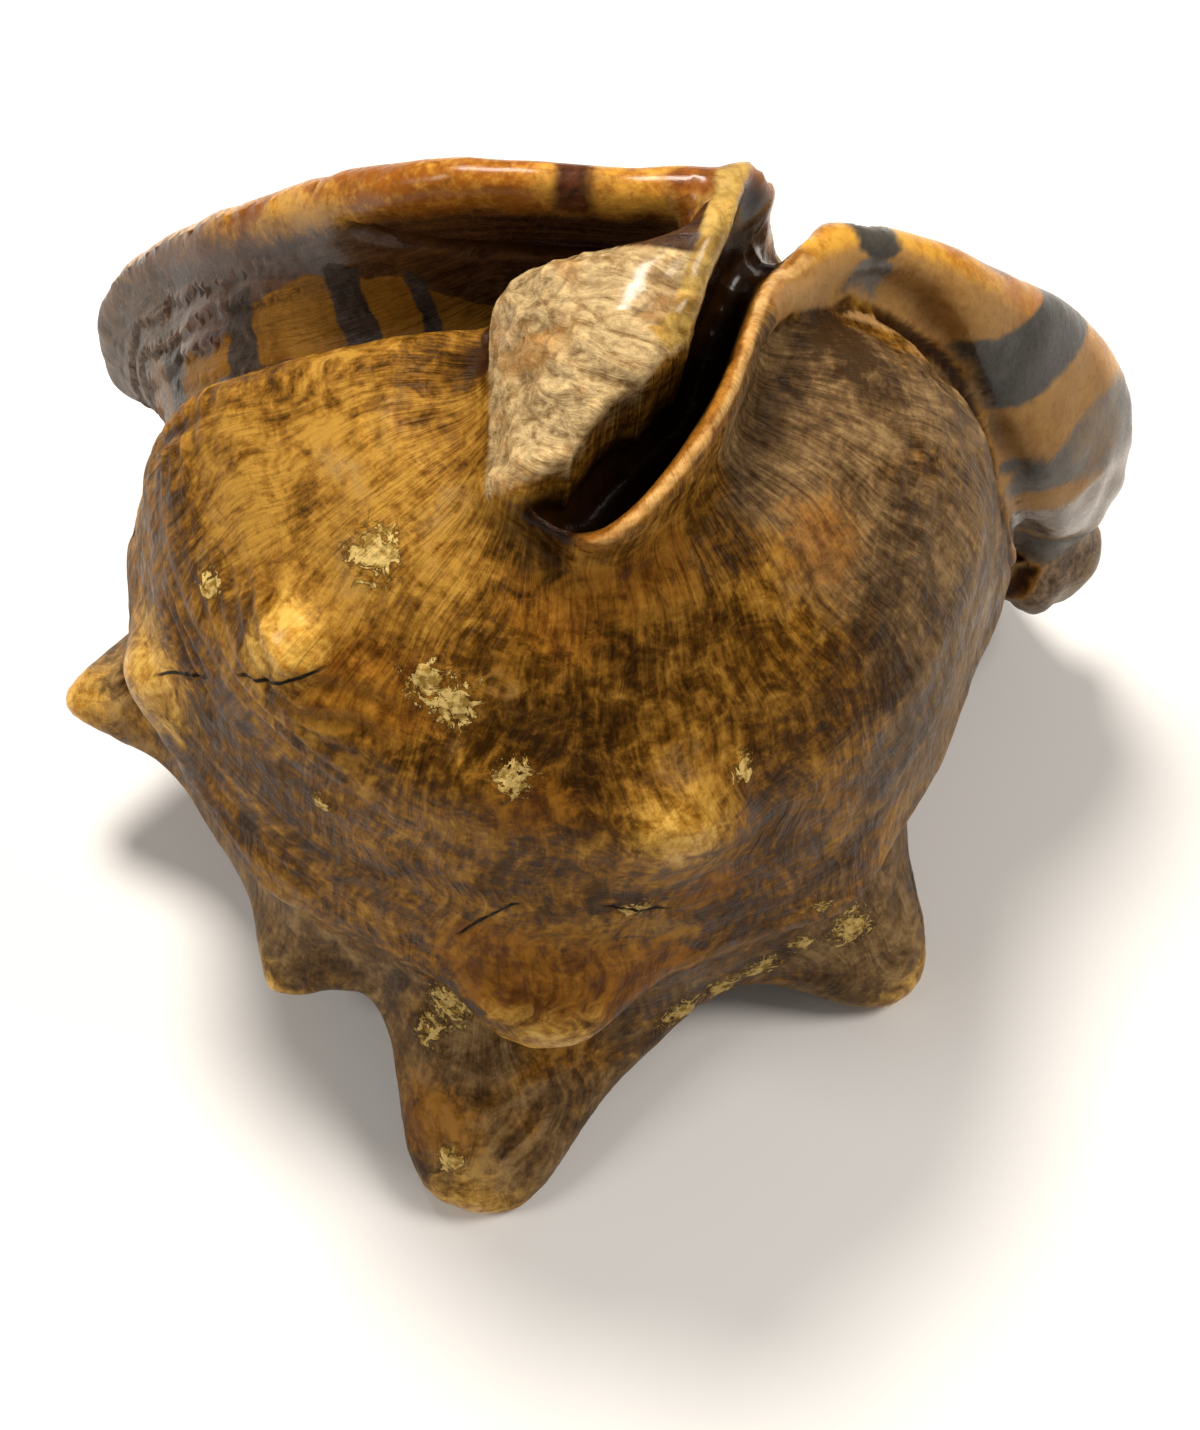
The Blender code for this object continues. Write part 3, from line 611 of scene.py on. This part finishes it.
def shell_material():
    """Mottled back first, then each region painted over it, then crusts, painted shade in hollows, lighter
    bulges and cracks over them all.
    """
    g = Graph("shell_finish")
    place = g.attribute("place", "Vector")
    net = g.attribute("net", "Vector")
    soft = g.noise(place, 15, 4, 0.55, 0.6)
    patchy = g.noise(place, 4, 6, 0.68, 0.8)
    fine = g.noise(place, 1.3, 4, 0.65)
    round_lines = g.noise(g.stretch(net, (0.55, 0.16, 1)), 1.0, 4, 0.7, 0.35)
    long_lines = g.noise(g.stretch(net, (0.16, 0.42, 1)), 1.0, 4, 0.7, 0.35)
    round_ribs = g.noise(g.stretch(net, (1.10, 0.14, 1)), 1.0, 2, 0.5, 0.25)
    long_ribs = g.noise(g.stretch(net, (0.13, 0.85, 1)), 1.0, 2, 0.5, 0.25)
    wander = g.math("MULTIPLY_ADD", g.noise(place, 11, 3, 0.6, 0.5), 0.6, g.attribute("lengthwise"))
    choice = g.step(0.40, 0.60, wander)
    dashes = g.blend(choice, round_lines, long_lines)
    ribs = g.blend(0.22, g.blend(choice, round_ribs, long_ribs), g.blend(choice, long_ribs, round_ribs))
    colour, rough = body_colour(g, place, soft, patchy, fine, dashes, ribs)

    def layer(name, low, high, ragged, dark, light, shine, speck=patchy, contrast=0.14):
        """Paints a region over what is there, with a ragged edge and two mottled colours."""
        nonlocal colour, rough
        edge = g.math("MULTIPLY_ADD", g.math("SUBTRACT", patchy, 0.5), ragged, g.attribute(name))
        share = g.step(low, high, edge)
        paint = g.mix(g.step(0.5 - contrast, 0.5 + contrast, g.blend(0.35, speck, fine)), dark, light)
        colour = g.mix(share, colour, paint)
        rough = g.blend(share, rough, shine)
        return share

    lines = g.noise(g.stretch(g.attribute("contour", "Vector"), (1.1, 0.10, 0.10)), 1.0, 4, 0.6, 0.4)
    grain = g.noise(g.stretch(g.attribute("stub_grain", "Vector"), (0.55, 0.16, 0.4)), 1.0, 5, 0.7, 1.2)
    layer("spire", 0, 3, 3, BROWN, OCHRE, 0.5)
    layer("face", 0, 1.2, 1.5, (0.34, 0.145, 0.035), (0.60, 0.37, 0.15), 0.22, soft, 0.24)
    layer("slit", 0, 6, 6, (0.085, 0.027, 0.006), (0.26, 0.10, 0.022), 0.25)
    layer("inside", 0, 2, 1, (0.07, 0.024, 0.006), (0.16, 0.060, 0.014), 0.3)
    layer("wing", 0, 0.7, 0.8, MAROON, (0.080, 0.034, 0.012), 0.24, lines, 0.2)
    # Grey patch at the wing's left end: partly worn shell, partly a painted sheen
    layer("wear_and_sheen", 0.2, 0.75, 0.9, (0.040, 0.024, 0.015), (0.17, 0.115, 0.080), 0.40, lines)
    layer("checker", 0, 0.5, 1.6, (0.090, 0.036, 0.004), (0.185, 0.082, 0.010), 0.36, soft)
    layer("checker_bars", 0, 0.5, 2.6, (0.016, 0.011, 0.008), (0.048, 0.034, 0.026), 0.34)
    layer("shield_rim", 0, 2.6, 3.4, (0.26, 0.080, 0.006), (0.58, 0.29, 0.040), 0.28, soft, 0.10)
    layer("rim_dark", 0, 2.2, 3.0, MAROON, (0.10, 0.030, 0.010), 0.28)
    layer("band", 0, 1.0, 1.2, (0.25, 0.120, 0.030), (0.38, 0.205, 0.062), 0.32, soft)
    layer("band_outer", 0, 2.0, 3.0, (0.36, 0.130, 0.010), (0.60, 0.31, 0.040), 0.28, soft, 0.10)
    layer("band_edge", 0, 1.2, 2.4, (0.085, 0.020, 0.004), (0.30, 0.095, 0.010), 0.26, soft)
    # Pale grey lobe low on the lip band: partly its pale colour, partly a painted highlight
    layer("band_pale_sheen", 0, 1.4, 2.4, (0.16, 0.120, 0.092), (0.34, 0.27, 0.215), 0.24)
    layer("band_low", 0.1, 0.9, 1.2, (0.060, 0.036, 0.022), (0.26, 0.175, 0.100), 0.34)
    layer("band_slate", 0, 3.0, 3.0, (0.070, 0.058, 0.046), (0.130, 0.115, 0.095), 0.28, soft)
    layer("band_dark", 0, 2.0, 2.6, (0.020, 0.017, 0.012), (0.058, 0.052, 0.042), 0.28, soft)
    # Dark line where the back meets the wing and along the band's inner fold: painted shadow in the crease
    layer("shaded_seam", 0, 1.0, 0.8, MAROON, (0.06, 0.022, 0.006), 0.45)
    gloss = g.step(0.33, 0.24, rough)
    share = layer("stub", 0, 0.8, 1.2, (0.17, 0.090, 0.028), (0.62, 0.45, 0.22), 0.50, grain, 0.17)
    colour = g.mix(g.math("MULTIPLY", share, g.step(0.49, 0.62, soft)), colour,
                   g.mix(0.55, colour, (0.30, 0.125, 0.022)))
    layer("canal_rim", 0, 2.2, 1.2, (0.13, 0.042, 0.004), (0.32, 0.130, 0.015), 0.26)
    # Slot of the canal painted near black: partly the dark colour of its walls, partly painted shade in the
    # narrow groove
    layer("slot", 0, 1.2, 0.5, PITCH, (0.020, 0.0065, 0.002), 0.22)
    # Pale thin edge of the canal's right rim: partly its own colour, partly a painted glow of light through
    # the thin shell
    layer("canal_edge_glow", 0, 0.6, 0.5, (0.36, 0.17, 0.040), (0.56, 0.34, 0.12), 0.30)
    layer("ridge", 0, 0.7, 1.4, (0.20, 0.105, 0.016), (0.46, 0.30, 0.080), 0.34)
    flake = g.noise(place, 2.2, 4, 0.7, 1.5)
    crust = g.math("MULTIPLY_ADD", g.math("SUBTRACT", flake, 0.5), 2.6, g.attribute("crust"))
    share = g.step(0.50, 0.58, crust)
    # Dark ring round each crust: partly its dark edge, partly painted shadow under the raised flake
    colour = g.mix(g.step(0.20, 0.50, crust), colour, g.mix(0.6, colour, UMBER))
    colour = g.mix(share, colour, g.mix(g.step(0.40, 0.58, fine), (0.26, 0.15, 0.026), (0.60, 0.42, 0.14)))
    rough = g.blend(share, rough, 0.7)

    # Hollows painted darker as painted shade, and convex bulges painted lighter
    painted_hollow_shade = g.step(0.0, 1.0, g.attribute("hollow"))
    colour = g.mix(g.math("MULTIPLY", painted_hollow_shade, 0.55), colour, g.mix(0.8, colour, UMBER))
    lighter_bulges = g.step(0.10, 1.0, g.math("MULTIPLY", g.attribute("hollow"), -1.0))
    colour = g.mix(g.math("MULTIPLY", lighter_bulges, 0.45), colour, g.mix(1.0, colour, (1.7, 1.6, 1.5), "MULTIPLY"))
    line = g.math("ABSOLUTE", g.attribute("crack"))
    thin = g.math("MULTIPLY", g.step(0.32, 0.12, line), g.step(0.0, 0.25, g.attribute("crack_reach")))
    colour = g.mix(thin, colour, PITCH)

    g.feed(g.surface.inputs["Base Color"], colour)
    spotty = g.math("MULTIPLY_ADD", g.math("SUBTRACT", fine, 0.5), 0.5, rough)
    g.feed(g.surface.inputs["Roughness"], g.math("MINIMUM", g.math("MAXIMUM", spotty, 0.14), 0.95))
    g.surface.inputs["IOR"].default_value = IOR
    g.surface.inputs["Specular IOR Level"].default_value = SPECULAR_LEVEL
    g.surface.inputs["Coat Roughness"].default_value = COAT_ROUGHNESS
    g.feed(g.surface.inputs["Coat Weight"], g.math("MULTIPLY", gloss, COAT_AT_MOST))
    g.feed(g.surface.inputs["Normal"], fine_bump(g, place, ribs, lines, grain, share, thin))
    return g.material


def body_colour(g, place, soft, patchy, fine, dashes, ribs):
    """Mottled ochre and brown of the knobbed back, broken into dashes along its fine lines."""
    # Starts from the tone that holds the patches of painted shade and highlight
    tone = g.attribute("tone_and_light")
    for speck, weight in ((soft, 0.80), (patchy, 0.85), (dashes, 0.70), (ribs, 0.38), (fine, 0.50)):
        tone = g.math("MULTIPLY_ADD", g.math("SUBTRACT", speck, 0.5), weight, tone)
    colour = g.ramp(tone, ((0.26, UMBER), (0.43, BROWN), (0.58, OCHRE), (0.78, GOLD)))
    grey = g.ramp(tone, GREY_BROWNS)
    clouds = g.math("SUBTRACT", g.noise(place, 8, 4, 0.6), 0.5)
    cloud = g.math("MULTIPLY_ADD", clouds, 2.2, g.attribute("mauve"))
    colour = g.mix(g.math("MULTIPLY", g.step(0.2, 0.9, cloud), 0.85), colour, grey)
    rust = g.math("MULTIPLY_ADD", g.math("SUBTRACT", patchy, 0.5), 2.0, g.attribute("rust"))
    flecks = g.blend(0.5, dashes, patchy)
    warm = g.mix(g.step(0.40, 0.60, flecks), (0.13, 0.038, 0.003), (0.34, 0.13, 0.010))
    colour = g.mix(g.math("MULTIPLY", g.step(0.3, 0.9, rust), 0.6), colour, warm)
    # Knob tips painted cream to gold: partly their paler colour, partly a painted highlight
    tip = g.math("MULTIPLY_ADD", g.math("SUBTRACT", patchy, 0.5), 1.5, g.attribute("knob"))
    glow = g.mix(g.step(0.38, 0.62, g.blend(0.5, patchy, fine)), (0.42, 0.18, 0.012), (0.72, 0.43, 0.085))
    colour = g.mix(g.step(0.05, 0.95, tip), colour, glow)
    dull = g.blend(g.step(0.4, 0.6, patchy), 0.34, 0.60)
    return colour, g.blend(g.step(0.2, 0.8, tip), dull, 0.28)


def fine_bump(g, place, ribs, lines, grain, crust, crack):
    """The fine lines of the back, grain everywhere, and the edges of crusts and cracks."""
    height = g.math("MULTIPLY", g.math("MULTIPLY", ribs, 4.2), g.attribute("netted"))
    height = g.math("MULTIPLY_ADD", g.noise(place, 1.1, 4, 0.6), 1.0, height)
    for texture, region, depth in ((lines, "wing", 2.2), (grain, "stub", 3.0)):
        here = g.math("MULTIPLY", texture, g.step(0, 1, g.attribute(region)))
        height = g.math("MULTIPLY_ADD", here, depth, height)
    height = g.math("MULTIPLY_ADD", crust, 2.0, height)
    height = g.math("MULTIPLY_ADD", crack, -2.5, height)
    bump = g.add("Bump")
    bump.inputs["Strength"].default_value = BUMP_STRENGTH
    bump.inputs["Distance"].default_value = BUMP_DEPTH * MM
    g.feed(bump.inputs["Height"], height)
    return bump.outputs["Normal"]


def write_attributes(mesh, p, at, hollow):
    """Hands the places on to the material, as one number or vector a point."""
    x, y, z = p.T
    theta = (at["turned"] + 90) % 360
    painted = np.maximum.reduce([at[name] for name in ("wing", "band", "face", "stub", "slot")])
    body = 1 - smoothstep(-1, 1, painted)
    tone_and_light = 0.50 + 0.04 * noise(p, 22, 30)
    # Tone of the back: its own random tone, plus patches of painted shade and highlight
    for *place, radius, change in TONE_AND_LIGHT_PATCHES:
        tone_and_light += change * np.exp(-((p - place) ** 2).sum(1) / radius**2)
    rust = np.zeros(len(p))
    for *place, radius in RUSTS:
        rust += np.exp(-((p - place) ** 2).sum(1) / radius**2)
    mauve = smoothstep(296, 335, theta) + smoothstep(40, 0, theta) + 0.8 * smoothstep(45, 5, z)
    mauve = np.clip(mauve + 0.35 * noise(p, 14, 31), 0, 1) * body
    # Grey patch at the wing's left end: partly worn shell, partly a painted sheen
    wear_and_sheen = smoothstep(-36, -58, x) * smoothstep(74, 50, z) * smoothstep(0, 2, at["wing"])
    share, side = at["band_share"], at["band_side"]
    # Bars lower down, and the inner half of the first one, are soft slate and not dark
    inner_half = smoothstep(0.3, 0.26, share) * smoothstep(0.3, -0.1, side)
    faint = np.maximum(smoothstep(0.52, 0.56, share), inner_half)
    fan = np.exp(-((p - FAN_MIDDLE) ** 2).sum(1) / FAN_RADIUS**2)
    lengthwise = 0.10 + 0.5 * smoothstep(-25, 5, x) + 0.6 * fan + 0.3 * smoothstep(-8, -1, at["lip_gap"])
    rim = np.minimum(4.6 - 1.5 * smoothstep(-35, -58, x) - at["rim_gap"], at["wing"] + 3)
    as_placed = (
        "spire", "face", "slit", "inside", "wing", "checker", "checker_bars", "band", "shaded_seam", "stub", "slot",
        "canal_rim", "canal_edge_glow", "ridge", "crack",
    )
    values = {name: at[name] for name in as_placed}
    values |= {
        "wear_and_sheen": wear_and_sheen,
        "shield_rim": np.where(x < 14, rim, -5),
        "rim_dark": np.minimum(rim, 3.5 - np.abs(x + 3)) + noise(p, 5, 32),
        "band_outer": np.minimum(at["band"], (side - 0.25) * 6),
        "band_edge": np.minimum(at["band"], (side - 0.78) * 8) + 1.2 * noise(p, 9, 35) - 0.4,
        "band_pale_sheen": np.minimum(at["band"], 7 - np.abs(share - 0.70) * 110),
        "band_low": smoothstep(0.76, 0.80, share) * smoothstep(0, 1, at["band"]),
        "band_dark": np.minimum(at["band_bars"], at["band"]) - 3 * faint,
        "band_slate": np.minimum(at["band_bars"] + 1.5, at["band"]) - 9 * (1 - faint),
        "crust": np.maximum(at["crust"], -1) * body - 2 * (1 - body),
        "crack_reach": at["crack_reach"] * body,
        "knob": at["knob"] * body,
        "rust": rust * body,
        "tone_and_light": tone_and_light, "mauve": mauve, "hollow": hollow, "lengthwise": lengthwise, "netted": body,
    }
    for name, value in values.items():
        layer = mesh.attributes.new(name, "FLOAT", "POINT")
        layer.data.foreach_set("value", np.ascontiguousarray(value, np.float32))
    flat = np.zeros(len(p))
    climb, turn = at["meridian"] + 1.6 * noise(p, 10, 36), at["turned"] + 3 * noise(p, 10, 37)
    vectors = {
        "place": p,
        "net": np.stack([climb, turn, flat], 1),
        "stub_grain": p @ STUB_GRAIN,
        "contour": np.stack([at["rim_gap"], at["rim_share"] * 500, flat], 1),
    }
    for name, value in vectors.items():
        layer = mesh.attributes.new(name, "FLOAT_VECTOR", "POINT")
        layer.data.foreach_set("vector", np.ascontiguousarray(value, np.float32).ravel())


def build_shell():
    """The visible shell: the CAD node's even copy, moved by the relief and painted."""
    obj = dense_copy(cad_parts[NODE])
    mesh = obj.data
    p = to_shell(read_points(mesh))
    n = read_normals(mesh) @ pose()
    at = places(p, n)
    p_new = to_row(p + n * relief(p, at)[:, None])
    p_new[:, 2] = np.maximum(p_new[:, 2], 0)
    mesh.vertices.foreach_set("co", p_new.astype(np.float32).ravel())
    mesh.update()
    bend = ((neighbour_mean(mesh, p_new) - p_new) * read_normals(mesh)).sum(1) / MM
    write_attributes(mesh, p, at, bend * HOLLOW_GAIN)
    mesh.shade_smooth()
    mesh.materials.append(shell_material())
    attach(obj, "root")
    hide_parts(NODE)
    print("shell mesh", len(mesh.polygons), "faces")
    return obj


# Stage

def build_floor():
    mesh = bpy.data.meshes.new("floor")
    corners = [(sx * FLOOR_REACH, sy * FLOOR_REACH, 0) for sx, sy in ((-1, -1), (1, -1), (1, 1), (-1, 1))]
    mesh.from_pydata(corners, [], [(0, 1, 2, 3)])
    floor = bpy.data.objects.new("floor", mesh)
    bpy.context.scene.collection.objects.link(floor)
    g = Graph("floor_finish")
    g.surface.inputs["Base Color"].default_value = (*FLOOR_COLOUR, 1)
    g.surface.inputs["Roughness"].default_value = FLOOR_ROUGHNESS
    mesh.materials.append(g.material)


def build_light():
    world = bpy.data.worlds.new("room")
    world.use_nodes = True
    background = world.node_tree.nodes["Background"]
    background.inputs["Color"].default_value = (*ROOM_COLOUR, 1)
    background.inputs["Strength"].default_value = ROOM_STRENGTH
    bpy.context.scene.world = world
    for name, place, size, power, colour in LAMPS:
        light = bpy.data.lights.new(name, "AREA")
        light.shape = "DISK"
        light.size, light.energy, light.color = size, power, colour
        lamp = bpy.data.objects.new(name, light)
        lamp.location = place
        lamp.rotation_euler = (Vector(LAMPS_AIM) - Vector(place)).to_track_quat("-Z", "Y").to_euler()
        bpy.context.scene.collection.objects.link(lamp)
    bpy.context.scene.view_settings.view_transform = "Standard"


def build_camera():
    tilt = math.radians(CAMERA_ELEVATION)
    right, up = Vector((1, 0, 0)), Vector((0, math.sin(tilt), math.cos(tilt)))
    back = Vector((0, -math.cos(tilt), math.sin(tilt)))
    target = Vector(SHELL_ORIGIN) - right * ORIGIN_OFFSET[0] - up * ORIGIN_OFFSET[1]
    camera = bpy.data.cameras.new("camera")
    camera.sensor_fit = "HORIZONTAL"
    camera.sensor_width = 36.0
    camera.lens = camera.sensor_width * LENS_PX / PHOTO_SIZE[0]
    camera.clip_start, camera.clip_end = 0.01, 10.0
    obj = bpy.data.objects.new("camera", camera)
    turn = Matrix((right, up, back)).transposed().to_4x4()
    obj.matrix_world = Matrix.Translation((target + back * CAMERA_DISTANCE) * MM) @ turn
    bpy.context.scene.collection.objects.link(obj)
    bpy.context.scene.camera = obj


build_camera()
build_light()
build_floor()
build_shell()
